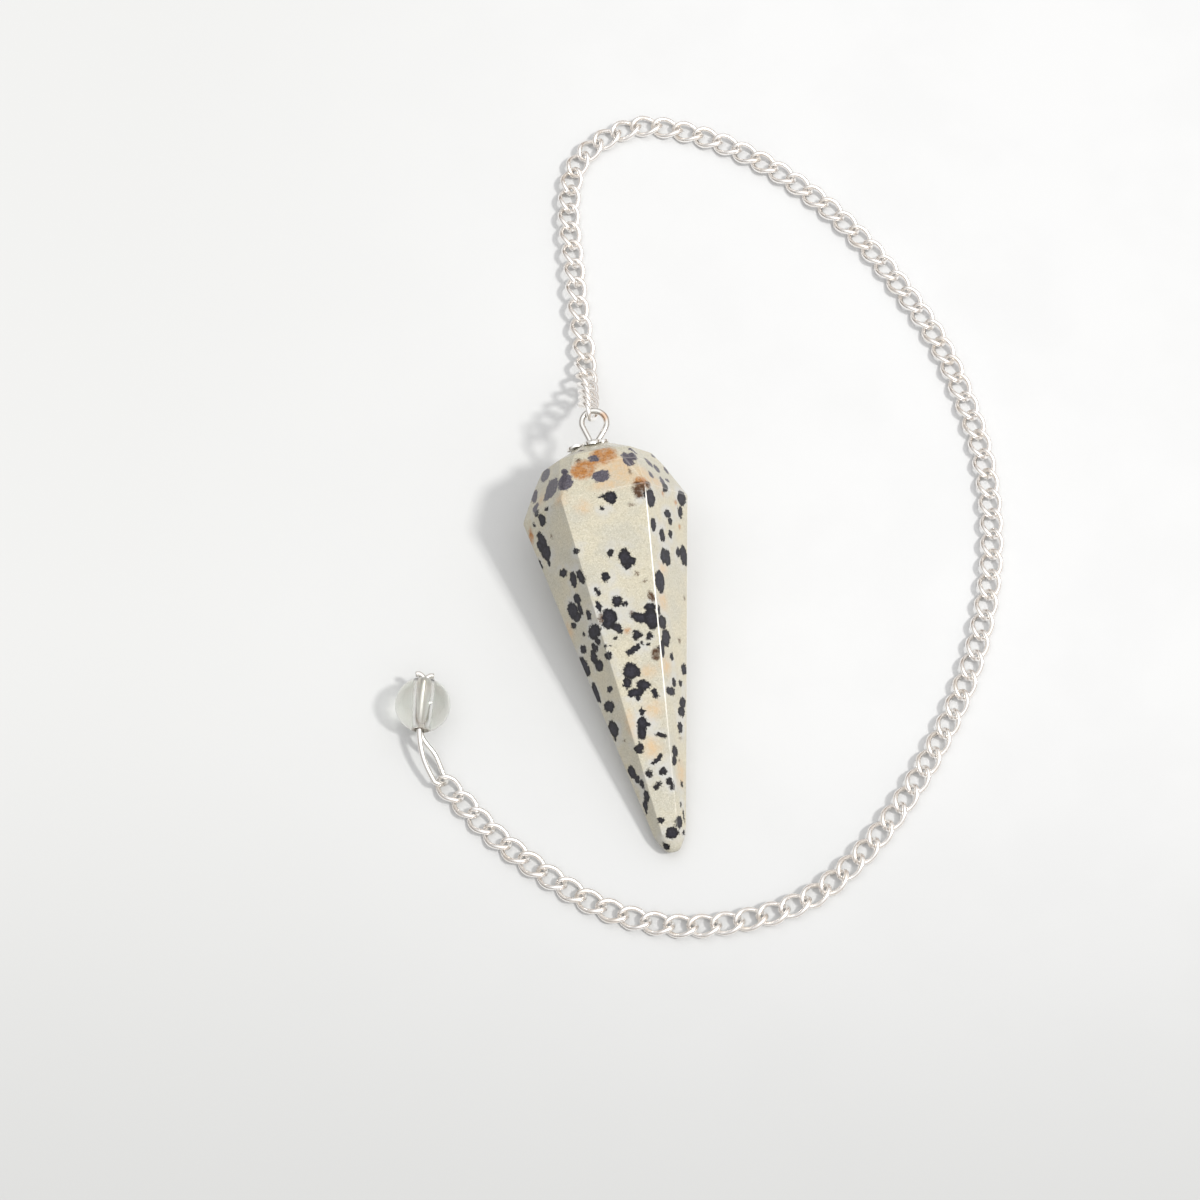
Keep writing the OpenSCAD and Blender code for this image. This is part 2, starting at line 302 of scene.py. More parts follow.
def put(name: str, data: bpy.types.ID) -> bpy.types.Object:
    """Put an object into the scene.

    Args:
        name: Name of the object.
        data: Its mesh, camera or lamp.

    Returns:
        The object.
    """
    made = bpy.data.objects.new(name, data)
    bpy.context.scene.collection.objects.link(made)
    return made


def finish_piece(name: str, mesh: bmesh.types.BMesh, place: Matrix, slot: Slot,
                 material: bpy.types.Material, node: str) -> bpy.types.Object:
    """Turn a mesh into a dressed piece that stands for a CAD node.

    Args:
        name: Name of the piece.
        mesh: Its mesh, which is freed.
        place: Matrix from the mesh to the scene in metres.
        slot: Record slot of the piece, not used.
        material: Its material.
        node: CAD node that it replaces.

    Returns:
        The new object.
    """
    bmesh.ops.transform(mesh, matrix=place, verts=mesh.verts)
    bmesh.ops.remove_doubles(mesh, verts=mesh.verts, dist=1e-7)
    bmesh.ops.recalc_face_normals(mesh, faces=mesh.faces)
    for face in mesh.faces:
        face.smooth = True
    piece = put(name, to_data(name, mesh))
    piece.data.materials.append(material)
    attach(piece, "root")
    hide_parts(node)
    log.info("%s: %d faces", name, len(piece.data.polygons))
    return piece


# Finishes


@dataclass(frozen=True)
class Mark:
    """One mark that a cut facet shows.

    Attributes:
        shade: Kind of mark.
        across: Millimetres to the right of the facet's middle line.
        along: Millimetres above the girdle, less than zero on the point.
        wide: Width in millimetres.
        tall: Length up the facet in millimetres.
        tilt: Turn to the right in degrees.
    """

    shade: Shade
    across: float
    along: float
    wide: float
    tall: float
    tilt: float = 0.0


def marks(shade: Shade, *rows: tuple[int, ...]) -> list[Mark]:
    """Make marks from rows of across, along, wide and tall in tenths of a millimetre, and tilt."""
    return [Mark(shade, *(size / 10 for size in row[:4]), *row[4:]) for row in rows]


# The marks were charted facet by facet, each at its place in the photograph.
UPPER_MARKS = (
    *marks(Shade.INK, (6, -8, 13, 12), (-2, -6, 7, 4), (8, -14, 5, 5), (-5, -18, 3, 4),
          (-5, -66, 6, 7, 40), (9, -74, 13, 18), (14, -79, 11, 11), (11, -83, 8, 8),
          (-15, -90, 9, 9, 40), (-27, -101, 5, 5), (-26, -105, 5, 5), (-28, -119, 6, 12),
          (-8, -117, 11, 11), (-1, -122, 6, 5), (-19, -132, 16, 17), (-22, -139, 14, 10),
          (-13, -145, 9, 13, -35), (12, -139, 19, 11, 25), (25, -130, 11, 9), (25, -143, 15, 23),
          (6, -156, 9, 11, 35), (19, -160, 8, 8), (16, -168, 4, 3), (9, -165, 3, 3), (-17, -155, 4, 3),
          (-24, -162, 3, 2), (-29, -162, 3, 3), (-5, -172, 7, 7), (1, -170, 11, 7, -20),
          (-29, -172, 4, 9), (-8, -192, 17, 17), (-1, -194, 6, 10), (-14, -204, 9, 12),
          (3, -209, 14, 12, 20), (-7, -215, 16, 9), (-6, -221, 5, 6), (13, -219, 6, 10),
          (-4, -236, 6, 8), (-6, -248, 12, 13), (-9, -258, 9, 13), (-1, -250, 6, 5),
          (11, -264, 11, 5, 20), (-14, -272, 8, 10, 20), (1, -288, 15, 5, -30), (-10, -301, 7, 9),
          (5, -301, 8, 8, 40), (-1, -313, 6, 5), (-5, -316, 6, 5), (10, -313, 6, 7), (12, -318, 5, 8),
          (-7, -351, 7, 6), (2, -366, 15, 12), (12, -357, 6, 13), (-8, -378, 10, 7, 35)),
    *marks(Shade.RUST, (26, -20, 5, 3), (38, -6, 16, 19), (18, -93, 5, 4), (26, -102, 5, 2, -20),
          (29, -119, 6, 14, -20), (-29, -132, 6, 12, 20), (5, -132, 6, 5), (22, -179, 10, 14, 20)),
    *marks(Shade.AMBER, (-3, -150, 7, 7), (42, 2, 20, 16)),
    *marks(Shade.PEACH, (-24, -13, 12, 10), (8, -235, 16, 16), (-1, -275, 18, 18), (10, -196, 14, 10),
          (-18, -244, 6, 18)),
)
RIGHT_MARKS = (
    *marks(Shade.INK, (-38, -15, 20, 19), (-2, 1, 16, 9, -35), (34, -5, 19, 16, -30), (29, -21, 10, 12),
          (-1, -27, 14, 9), (5, -34, 9, 6), (-34, -43, 12, 13), (-15, -52, 12, 14), (4, -49, 8, 8),
          (-14, -74, 13, 16), (-6, -75, 14, 18), (32, -68, 16, 22, -20), (20, -66, 9, 9),
          (-25, -103, 20, 24, -15), (-30, -134, 5, 11), (-24, -146, 17, 15), (-17, -162, 18, 18),
          (-26, -174, 9, 19), (-6, -181, 8, 8), (21, -192, 11, 14), (-3, -208, 8, 9, -30),
          (12, -208, 7, 7), (-12, -218, 20, 9), (14, -228, 14, 12), (11, -238, 14, 11),
          (6, -255, 9, 12), (-9, -282, 11, 13, -20), (-11, -292, 10, 9), (4, -315, 5, 6),
          (-1, -337, 3, 4), (-5, -356, 12, 13), (5, -349, 3, 13, -10), (3, -366, 5, 5)),
    *marks(Shade.RUST, (30, -114, 4, 4), (14, -161, 6, 5), (6, -267, 5, 3), (0, -290, 4, 4),
          (-42, -1, 14, 8)),
    *marks(Shade.PEACH, (-17, -88, 14, 12), (-20, -124, 16, 16), (-19, -193, 16, 16),
          (3, -304, 16, 22)),
    *marks(Shade.AMBER, (26, -37, 6, 5), (-9, -6, 6, 5), (19, -12, 8, 6)),
)
LEFT_MARKS = (
    *marks(Shade.INK, (-5, -8, 14, 13), (-13, 2, 10, 7, 35), (10, 0, 8, 5), (-23, -8, 4, 4),
          (-18, -26, 13, 19, -20), (-19, -40, 19, 17), (-26, -32, 9, 14), (-21, -51, 6, 7),
          (-37, -49, 4, 11), (36, -57, 8, 5), (-1, -70, 15, 9), (13, -82, 13, 15, 20),
          (28, -83, 12, 15, -20), (-8, -110, 19, 19), (-4, -119, 16, 9), (8, -102, 13, 12),
          (6, -113, 8, 13), (-16, -125, 10, 8), (18, -123, 10, 11), (17, -142, 25, 15),
          (17, -152, 8, 9), (-3, -139, 5, 4), (-14, -152, 11, 9), (8, -157, 11, 9, 25),
          (0, -165, 12, 15, 20), (4, -176, 16, 12), (25, -172, 9, 8), (-22, -169, 13, 23, -12),
          (-19, -200, 10, 23), (7, -204, 11, 6), (-4, -220, 20, 13), (-11, -243, 17, 19),
          (-15, -253, 5, 5), (20, -274, 14, 9, 20), (-6, -293, 13, 15), (0, -302, 8, 8),
          (5, -309, 8, 9), (5, -322, 11, 13, 25), (-2, -330, 9, 11, 30), (-6, -336, 4, 5),
          (3, -379, 9, 6)),
    *marks(Shade.RUST, (2, -29, 4, 4), (1, -259, 5, 3)),
    *marks(Shade.AMBER, (-36, -16, 9, 18, 20)),
    *marks(Shade.PEACH, (18, -250, 9, 16), (39, 1, 13, 10), (-28, -128, 12, 14)),
)
UPPER_CROWN_MARKS = (
    *marks(Shade.ASH, (1, 18, 18, 16), (-3, 41, 11, 9, 30), (-39, 20, 19, 23), (32, 34, 9, 22, -8)),
    *marks(Shade.RUST, (-20, 43, 6, 5), (-16, 58, 10, 10), (32, 17, 3, 8)),
    *marks(Shade.AMBER, (-17, 30, 28, 28), (8, 43, 30, 26), (-5, 36, 16, 14)),
    *marks(Shade.PEACH, (24, 19, 26, 34), (15, 30, 34, 26), (6, 6, 30, 12)),
)
RIGHT_CROWN_MARKS = (
    *marks(Shade.ASH, (-43, 33, 11, 18, 20), (-35, 37, 11, 15, 40), (-26, 45, 14, 5, 60),
          (-20, 15, 9, 9, -30), (0, 9, 10, 15, 20), (-6, 33, 9, 13, -30), (6, 27, 12, 10),
          (16, 14, 7, 5), (29, 29, 8, 10), (22, 47, 9, 6), (3, 60, 34, 4, 70)),
    *marks(Shade.PEACH, (-36, 12, 26, 22), (-16, 6, 20, 14)),
)
LEFT_CROWN_MARKS = (
    *marks(Shade.ASH, (16, 21, 29, 23, 25), (8, 16, 16, 15), (36, 32, 18, 8, 60), (-8, 44, 24, 16, 40),
          (-24, 25, 13, 18, -20), (-17, 10, 12, 10)),
    *marks(Shade.PEACH, (-6, 16, 10, 10)),
)


@dataclass(frozen=True)
class PolishedJasper:
    """Cream stone with ragged black marks, rust spots and peach stains, ground and polished.

    Attributes:
        reach: How many times a mark's own size its round gradient reaches.
        drift: Size in patches to a millimetre, detail and push in millimetres of each noise that
            makes the marks ragged.
        scatter: Patches to a millimetre, greatest radius and seed of each layer of hidden marks.
        dots: Stray dots' cells to a millimetre.
        noises: Patches to a millimetre, detail and roughness of the clouds, the two grains, the
            halos, the stains, the marks' insides and the gloss.
    """

    cream: str = "#c5bfab"
    grey: str = "#bbb8aa"
    grain: str = "#9a937f"
    light_grain: str = "#dedacc"
    halo: str = "#c1c1be"
    ink: str = "#1b1a20"
    ink_warm: str = "#201e1f"
    ink_grey: str = "#34333c"
    # Ash-grey crown marks, lighter partly from painted reflection and partly in their own colour
    ash: str = "#4d4a53"
    ash_light: str = "#66626a"
    rust: str = "#4f3827"
    peach: str = "#cfae84"
    amber: str = "#b07a45"
    amber_deep: str = "#8f5f35"
    dot: str = "#54483b"
    # Painted highlight colour for the lamp's glint along the rounded creases
    painted_crease_glint: str = "#f6f4ee"
    reach: float = 10.0
    drift: tuple[tuple[float, float, float], ...] = ((1.2, 2.0, 0.6), (3.0, 2.0, 0.6), (7.0, 4.0, 0.5))
    scatter: tuple[tuple[float, float, float], ...] = ((0.34, 1.15, 3.7), (0.55, 0.55, 11.3))
    dots: float = 0.75
    noises: tuple[tuple[float, float, float], ...] = (
        (0.22, 5, 0.6), (5, 4, 0.75), (9, 2, 0.6), (0.35, 3, 0.55), (1.6, 4, 0.65), (3.2, 3, 0.7),
        (1.2, 4, 0.55))

    def gaps(self, tree: Tree, place: Socket, point: StonePoint, shade: Shade) -> Iterator[Socket]:
        """Measure how far a place is from each charted mark of a shade.

        Args:
            tree: Node tree of the material.
            place: Place in the stone's own frame, in millimetres.
            point: The stone, which knows where its facets lie.
            shade: Kind of mark.

        Yields:
            Signed distance in millimetres, less than zero in a mark.
        """
        for middle, half, charted in point.chart():
            for mark in (m for m in charted if m.shade is shade):
                where, turn = point.on_facet(middle, half, mark)
                size = (mark.wide + mark.tall) / 4
                widths = (mark.wide, (mark.wide + mark.tall) * 0.6, mark.tall)
                local = add_node(tree, "Mapping", {
                    "Vector": place, "Location": where, "Rotation": turn,
                    "Scale": [width * self.reach / 2 for width in widths]}, vector_type="TEXTURE")
                ball = add_node(tree, "TexGradient", (local,), "Fac", gradient_type="SPHERICAL")
                yield add_node(tree, "Math", (ball, -self.reach * size, (self.reach - 1) * size),
                               operation="MULTIPLY_ADD")

    def hidden_gaps(self, tree: Tree, place: Socket) -> Iterator[Socket]:
        """Scatter marks over the facets that the photograph doesn't show.

        Args:
            tree: Node tree of the material.
            place: Ragged place in the stone's own frame, in millimetres.

        Yields:
            Signed distance in millimetres from each layer's marks.
        """
        for scale, radius, seed in self.scatter:
            moved = add_node(tree, "Mapping", {"Vector": place, "Location": (seed, seed * 2, seed * 3)})
            yield self.cell_gap(tree, moved, scale, (0.25, 1, -0.4, radius))

    def cell_gap(self, tree: Tree, place: Socket, scale: float,
                 sizes: tuple[float, float, float, float]) -> Socket:
        """Measure how far a place is from a round spot in the middle of its cell.

        Args:
            tree: Node tree of the material.
            place: Place in millimetres.
            scale: Cells to a millimetre.
            sizes: Span of the cell's luck and the spot's radius at both its ends.

        Returns:
            Signed distance in millimetres.
        """
        far = add_node(tree, "TexVoronoi", {"Vector": place, "Scale": scale}, "Distance")
        far, luck = add_node(tree, "Math", (far, scale), operation="DIVIDE"), far.node.outputs["Color"]
        luck = add_node(tree, "SeparateColor", (luck,))
        radius = add_node(tree, "MapRange", (luck, *sizes), **SOFT)
        return add_node(tree, "Math", (far, radius), operation="SUBTRACT")

    def material(self, point: StonePoint) -> bpy.types.Material:
        """Make the material for a stone, in the stone's own frame.

        Args:
            point: The stone.

        Returns:
            The material.
        """
        # Fine-grained jasper, cut on a lap and polished: an even soft gloss over clouds of cream and
        # grey, with ragged dark spots that end sharply and iron stains that spread softly.
        made, tree, shader, place = new_surface("polished spotted jasper")
        upright = add_node(tree, "Mapping", {"Vector": place, "Location": point.centre,
                                             "Rotation": point.turn()}, vector_type="TEXTURE")
        ragged = upright
        for scale, detail, push in self.drift:
            shake = add_node(tree, "TexNoise", {"Vector": upright, "Scale": scale, "Detail": detail,
                                                "Roughness": 0.7}, "Color")
            shake = add_node(tree, "VectorMath", (shake, (-0.5,) * 3), operation="ADD")
            ragged = add_node(tree, "VectorMath", (shake, (push,) * 3, ragged), operation="MULTIPLY_ADD")
        sides = add_node(tree, "SeparateXYZ", (upright,)).node.outputs
        under = add_node(tree, "MapRange", (sides["Y"], 0.2, 1.2), **SOFT)

        ink = nearest(tree, self.gaps(tree, ragged, point, Shade.INK))
        hidden = nearest(tree, self.hidden_gaps(tree, ragged))
        away = add_node(tree, "Math", (under, -20, 20), operation="MULTIPLY_ADD")
        hidden = add_node(tree, "Math", (hidden, away), operation="ADD")
        ink = nearest(tree, (ink, hidden))
        rust, peach, amber = (nearest(tree, self.gaps(tree, ragged, point, shade))
                              for shade in (Shade.RUST, Shade.PEACH, Shade.AMBER))
        cloud, grain, light, veil, blot, fine, gloss = (
            add_node(tree, "TexNoise", {"Vector": upright, "Scale": scale, "Detail": detail,
                                        "Roughness": rough}) for scale, detail, rough in self.noises)
        rich = coats(tree, self.amber, (self.amber_deep, (grain, 0.45, 0.65)))
        # Cream and grey clouds about 4 mm wide with grains of a fifth and a tenth of a millimetre,
        # pale halos round some of the marks, and iron stains over them: peach, amber and rust
        colour = coats(tree, self.cream, (self.grey, (cloud, 0.38, 0.62)),
                       (self.grain, (grain, 0.42, 0.7, 0, 0.62)),
                       (self.light_grain, (light, 0.48, 0.7, 0, 0.6)),
                       (self.halo, (ink, 1.3, 0.1), (veil, 0.42, 0.62, 0, 0.85)),
                       (self.peach, (peach, 0.9, -0.9, 0, 0.72), (blot, 0.35, 0.62, 0.5, 1)),
                       (rich, (amber, 0.25, -0.45), (blot, 0.3, 0.6, 0.6, 1)),
                       (self.rust, (rust, 0.2, -0.25), (blot, 0.3, 0.55, 0.55, 1)))
        # The marks themselves: speckled ash-grey ones on the crown, their grey partly their own and partly
        # painted reflection, black ones that are greyer inside, and stray dots between them
        ash = nearest(tree, self.gaps(tree, ragged, point, Shade.ASH))
        speckled = coats(tree, self.ash, (self.ash_light, (grain, 0.42, 0.62)))
        black = coats(tree, self.ink, (self.ink_warm, (cloud, 0.4, 0.6)),
                      (self.ink_grey, (ink, -0.05, -0.5), (fine, 0.35, 0.65, 0.3, 1)))
        dot = self.cell_gap(tree, ragged, self.dots, (0.82, 1, -0.2, 0.17))
        colour = coats(tree, colour, (speckled, (ash, 0.12, -0.06)), (black, (ink, 0.13, -0.03)),
                       (self.dot, (dot, 0.05, -0.05, 0, 0.75)))
        # Painted highlight: the rounded creases get a pale colour for the lamp's glint along them, most of
        # all on the stone's right side, towards the lamp, and below its girdle
        crease = add_node(tree, "Attribute", (), "Fac", attribute_name="crease")
        colour = coats(tree, colour, (self.painted_crease_glint, crease, (sides["X"], -1, 1, 0.05, 0.95),
                                      (sides["Z"], -29, -17, 0.1, 1), (sides["Z"], -0.3, -1.6, 0.12, 1)))
        fill(shader, {
            "Base Color": colour, "Specular IOR Level": 0.17,
            "Roughness": add_node(tree, "MapRange", (gloss, 0.3, 0.7, 0.1, 0.2), **SOFT),
            "Subsurface Weight": 0.06, "Subsurface Radius": (0.0012, 0.0009, 0.0006),
            "Normal": add_node(tree, "Bump", {"Height": grain, "Strength": 0.12, "Distance": 0.00004})})
        return made


@dataclass(frozen=True)
class BrightPlate:
    """Silver-coloured plate on wire or sheet, with faint handling marks and tarnish.

    Attributes:
        label: What the finish is, for its material.
        silver: Colour of the clean plate.
        tarnish: Colour of the dull film.
        film: How much of the film shows.
        smooth: Least and greatest roughness.
        amber: Colour of a painted warm reflection in one place.
        reflection_reach: Radius of that place in millimetres.
    """

    label: str
    silver: str = "#f3f1ed"
    tarnish: str = "#cdbcae"
    film: float = 0.25
    smooth: tuple[float, float] = (0.09, 0.2)
    amber: str = "#cf9a66"
    reflection_reach: float = 0.8

    def material(self, warm: Vector | None = None) -> bpy.types.Material:
        """Make the material.

        Args:
            warm: Middle of the painted warm reflection, where there is one.

        Returns:
            The material.
        """
        # Silver plated on drawn wire and pressed sheet: bright reflections with grey lines, slightly
        # blurred by handling, under a thin warm film in patches about 2 mm wide.
        made, tree, shader, place = new_surface(self.label)
        cloud, scuffs = (add_node(tree, "TexNoise", {"Vector": place, "Scale": scale, "Detail": detail,
                                                     "Roughness": 0.6})
                         for scale, detail in ((0.5, 4), (9, 3)))
        colour = coats(tree, self.silver, (self.tarnish, (cloud, 0.45, 0.75, 0, self.film)))
        # Painted reflection: an amber spot in one place stands in for a warm reflection in the wire
        if warm:
            spot = add_node(tree, "VectorMath", (place, warm), "Value", operation="DISTANCE")
            span = (spot, self.reflection_reach, self.reflection_reach * 0.3, 0, 0.6)
            colour = coats(tree, colour, (self.amber, span))
        fill(shader, {
            "Base Color": colour, "Metallic": 1.0,
            "Roughness": add_node(tree, "MapRange", (cloud, 0.3, 0.7, *self.smooth), **SOFT),
            "Normal": add_node(tree, "Bump", {"Height": scuffs, "Strength": 0.15, "Distance": 0.00001})})
        return made


@dataclass(frozen=True)
class ClearGlass:
    """Clear glass with a greyish green body, faint pressing marks and a ground hole.

    Attributes:
        passing: Share of the lamp's light that goes straight through.
    """

    tint: str = "#eceee9"
    warm_tint: str = "#f0ece8"
    # Painted light: paler colour of the glass towards its front
    clear: str = "#fbfcfa"
    passed: str = "#f2f4f0"
    glint: str = "#f3d6b0"
    passing: float = 0.42

    def material(self, mouth: Vector, axis: Vector, bore: float) -> bpy.types.Material:
        """Make the material.

        Args:
            mouth: Middle of the hole's lower mouth, in millimetres.
            axis: Direction of the hole.
            bore: Radius of the hole.

        Returns:
            The material.
        """
        # Pressed soda-lime glass: a clear, slightly uneven lens, greyish green where it is thick.
        made, tree, shader, place = new_surface("clear pressed glass")
        # The real ball gathers light and passes it on, so some of the lamp's light goes through.
        share = add_node(tree, "Math", (add_node(tree, "LightPath", output="Is Shadow Ray"),
                                        self.passing), operation="MULTIPLY")
        open_way = add_node(tree, "BsdfTransparent", (linear(self.passed),))
        both = add_node(tree, "MixShader", (share, shader.outputs[0], open_way))
        fill(tree.nodes["Material Output"], (both,))
        cloud = add_node(tree, "TexNoise", {"Vector": place, "Scale": 0.7, "Detail": 2.0,
                                            "Roughness": 0.55})
        front = add_node(tree, "SeparateXYZ", (place,), "Y")
        spot = add_node(tree, "VectorMath", (place, mouth), "Value", operation="DISTANCE")
        # Painted light: the glass is paler towards the chain, which is its front, standing in for the
        # bright board and gathered light seen through it, with a warm painted glint at the mouth.
        body = coats(tree, self.tint, (self.warm_tint, (cloud, 0.4, 0.6)),
                     (self.clear, (front, -23.5, -26.5)), (self.glint, (spot, 1.15, 0.75, 0, 0.6)))
        # The drilled hole is ground inside, so it scatters light and looks pale.
        arm = add_node(tree, "VectorMath", (place, mouth), operation="SUBTRACT")
        arm = add_node(tree, "VectorMath", (arm, axis), operation="CROSS_PRODUCT")
        off_axis = add_node(tree, "VectorMath", (arm,), "Value", operation="LENGTH")
        polish = add_node(tree, "MapRange", (cloud, 0.4, 0.7, 0, 0.03), **SOFT)
        ground = add_node(tree, "MapRange", (off_axis, bore + 0.1, bore + 0.2, 0.3, 0), **SOFT)
        fill(shader, {
            "Base Color": body, "Transmission Weight": 1.0, "IOR": 1.5,
            "Roughness": add_node(tree, "Math", (polish, ground), operation="MAXIMUM"),
            "Normal": add_node(tree, "Bump", {"Height": cloud, "Strength": 0.1, "Distance": 0.00005})})
        return made


@dataclass(frozen=True)
class PaleBoard:
    """Matt white board under the pendant, with painted shade that makes it a little darker towards the
    front and the left.
    """

    white: str = "#d8d9da"
    shade: str = "#d6d7d8"
    front: str = "#bdbebe"
    left: str = "#d0d1d1"

    def material(self) -> bpy.types.Material:
        """Make the material.

        Returns:
            The material.
        """
        # Board painted matt white: no reflections, and faint clouds about 16 mm wide.
        made, tree, shader, place = new_surface("matt white board")
        cloud = add_node(tree, "TexNoise", {"Vector": place, "Scale": 0.06, "Detail": 4.0,
                                            "Roughness": 0.55})
        sides = add_node(tree, "SeparateXYZ", (place,)).node.outputs
        near = add_node(tree, "MapRange", (sides["Y"], -10, -100), **SOFT)
        # Painted shade: darker towards the front and the left, standing in for weaker light there
        colour = coats(tree, self.white, (self.shade, (cloud, 0.4, 0.65)), (self.front, near),
                       (coats(tree, self.left, (self.front, near)), (sides["X"], 20, -70)))
        fill(shader, {"Base Color": colour, "Roughness": 0.85, "Specular IOR Level": 0.2})
        return made


# Pieces


@dataclass
class StonePoint:
    """The faceted stone and the frame in which it lies, in millimetres.

    Attributes:
        width: Size over opposite corners of the girdle.
        length: Length from the girdle to the tip's bevel.
        tip_width: Size over opposite corners where the tip's bevel starts.
        tip_bevel: Length of the tip's bevel.
        tip_end_share: Share of the tip's width that is left at its end.
        corners: Sides that the long creases stand at, in degrees.
        crown: Share of the half width, share of the crown's height and corner spread of each tier.
        table_spread: Degrees from a corner's side to each of the two corners that the table has there.
        heading: Turn of the lying stone about the vertical, in degrees.
        hole_aside: How far to the right of the stone's axis the pin's hole is.
        crease: Width of the ground creases.
        tip_round: Rounding of the tip's end.
        rough_share: Share of the point's length that has ground creases, from the girdle down.
        upper, right, left: Middle and half width in degrees of the facets that the photograph shows.
        lean: Turn that lays the lower facet flat, in radians.
        centre: Middle of the girdle as the stone lies.
    """

    width: float = 18.3
    length: float = 37.0
    tip_width: float = 3.3
    tip_bevel: float = 1.4
    tip_end_share: float = 0.5
    crown_height: float = 7.0
    table_width: float = 4.6
    corners: tuple[int, ...] = (26, 90, 150, 210, 270, 326)
    crown: tuple[tuple[float, float, float], ...] = ((0.79, 0.50, 6), (0.67, 0.74, 9))
    table_spread: float = 15
    at: tuple[float, float] = (-10.8, -4.0)
    heading: float = 11.0
    hole_aside: float = -0.15
    hole_radius: float = 0.425
    hole_depth: float = 6.2
    crease: float = 0.09
    tip_round: float = 0.5
    rough_share: float = 0.9
    upper: tuple[float, float] = (-4, 30)
    right: tuple[float, float] = (58, 32)
    left: tuple[float, float] = (-62, 28)
    finish: PolishedJasper = PolishedJasper()
    lean: float = field(init=False)
    centre: Vector = field(init=False)

    def __post_init__(self) -> None:
        """Lay the stone with its lower facet flat on the surface."""
        share = math.cos(math.radians(self.corners[3] - self.corners[2]) / 2)
        self.lean = math.atan((self.width - self.tip_width) / 2 * share / self.length)
        self.centre = Vector((*self.at, self.width / 2 * share * math.cos(self.lean)))

    def turn(self) -> Euler:
        """Give the turn from the upright stone to the lying one."""
        return Euler((self.lean - math.pi / 2, 0, math.radians(self.heading)))

    def lying(self) -> Matrix:
        """Give the matrix from the upright stone in millimetres to the scene in metres."""
        return TO_METRES @ Matrix.Translation(self.centre) @ self.turn().to_matrix().to_4x4()

    def rings(self) -> list[tuple[float, float, float]]:
        """List the rings of corners from the tip to the table.

        Returns:
            Radius, height and spread of the corners in degrees, for each ring.
        """
        half = self.width / 2
        return [(self.tip_width / 2 * self.tip_end_share, -self.length - self.tip_bevel, 0),
                (self.tip_width / 2, -self.length, 0), (half, 0, 0),
                *((half * r, self.crown_height * h, s) for r, h, s in self.crown),
                (self.table_width / 2, self.crown_height, self.table_spread)]

    def chart(self) -> list[tuple[float, float, tuple[Mark, ...]]]:
        """List the charted facets.

        Returns:
            Middle and half width in degrees and the marks, for each facet.
        """
        return [(*self.upper, UPPER_MARKS), (*self.right, RIGHT_MARKS), (*self.left, LEFT_MARKS),
                (*self.upper, UPPER_CROWN_MARKS), (*self.right, RIGHT_CROWN_MARKS),
                (*self.left, LEFT_CROWN_MARKS)]

    def apothem(self, half: float, along: float) -> float:
        """Find how far a facet lies from the stone's axis.

        Args:
            half: Half the facet's width in degrees.
            along: Height above the girdle.

        Returns:
            The distance in millimetres.
        """
        rings = self.rings()
        for (r0, z0, s0), (r1, z1, s1) in zip(rings, rings[1:]):
            if along <= z1 or z1 == self.crown_height:
                u = (along - z0) / (z1 - z0)
                return (r0 + (r1 - r0) * u) * math.cos(math.radians(half - s0 - (s1 - s0) * u))
        return 0.0

    def on_facet(self, middle: float, half: float, mark: Mark) -> tuple[Vector, Euler]:
        """Place a mark on its facet.

        Args:
            middle: Middle of the facet in degrees from the upper side.
            half: Half the facet's width in degrees.
            mark: The mark.

        Returns:
            Its place in the upright stone, and its turn.
        """
        a = math.radians(middle)
        out, across = Vector((math.sin(a), -math.cos(a), 0)), Vector((math.cos(a), math.sin(a), 0))
        step = 0.3
        below, here, above = (self.apothem(half, mark.along + s) for s in (-step, 0, step))
        rise = (above - below) / (2 * step)
        uphill = (Vector((0, 0, 1)) + out * rise).normalized()
        axes = Matrix((across, uphill.cross(across), uphill)).transposed()
        spin = Matrix.Rotation(math.radians(mark.tilt), 3, "Y")
        place = out * here + across * mark.across + Vector((0, 0, mark.along))
        return place, (axes @ spin).to_euler()

    def build(self) -> None:
        """Cut the stone from its rings, round its creases and drill it."""
        mesh = bmesh.new()
        painted_crease_glint = mesh.faces.layers.float.new("crease")
        for radius, along, spread in self.rings():
            for corner in self.corners:
                for a in ([corner - spread, corner + spread] if spread else [corner]):
                    side = math.radians(a)
                    mesh.verts.new((radius * math.sin(side), -radius * math.cos(side), along))
        bmesh.ops.convex_hull(mesh, input=mesh.verts)
        bmesh.ops.dissolve_limit(mesh, angle_limit=math.radians(0.6), verts=mesh.verts, edges=mesh.edges)
        tip = [e for e in mesh.edges if all(v.co.z < 0.01 - self.length for v in e.verts)]
        bmesh.ops.bevel(mesh, geom=tip, offset=self.tip_round, segments=4, clamp_overlap=True, **ROUND)
        creases = [e for e in mesh.edges if any(v.co.z > -self.rough_share * self.length for v in e.verts)]
        bands = bmesh.ops.bevel(mesh, geom=creases, offset=self.crease, segments=3,
                                clamp_overlap=True, **ROUND)["faces"]
        # The rounded bands carry the painted crease highlight
        for face in bands:
            face[painted_crease_glint] = 1.0
        self.drill(mesh)
        piece = finish_piece("jasper_point", mesh, self.lying(), Slot.STONE,
                             self.finish.material(self), "faceted_stone")
        piece.modifiers.new("flat facets", "WEIGHTED_NORMAL").weight = 100

    def drill(self, mesh: bmesh.types.BMesh) -> None:
        """Drill the hole for the pin into the table.

        Args:
            mesh: Mesh of the upright stone, in millimetres.
        """
        table = max(mesh.faces, key=lambda f: f.calc_center_median().z)
        bmesh.ops.inset_region(mesh, faces=[table], thickness=self.table_width / 4, depth=0)
        top, aside = Vector((0, 0, self.crown_height)), Vector((self.hole_aside, 0, 0))
        for vertex in table.verts:
            vertex.co = top + aside + (vertex.co - top).normalized() * self.hole_radius
        down = bmesh.ops.extrude_discrete_faces(mesh, faces=[table])["faces"]
        bmesh.ops.translate(mesh, vec=(0, 0, -self.hole_depth), verts=down[0].verts)


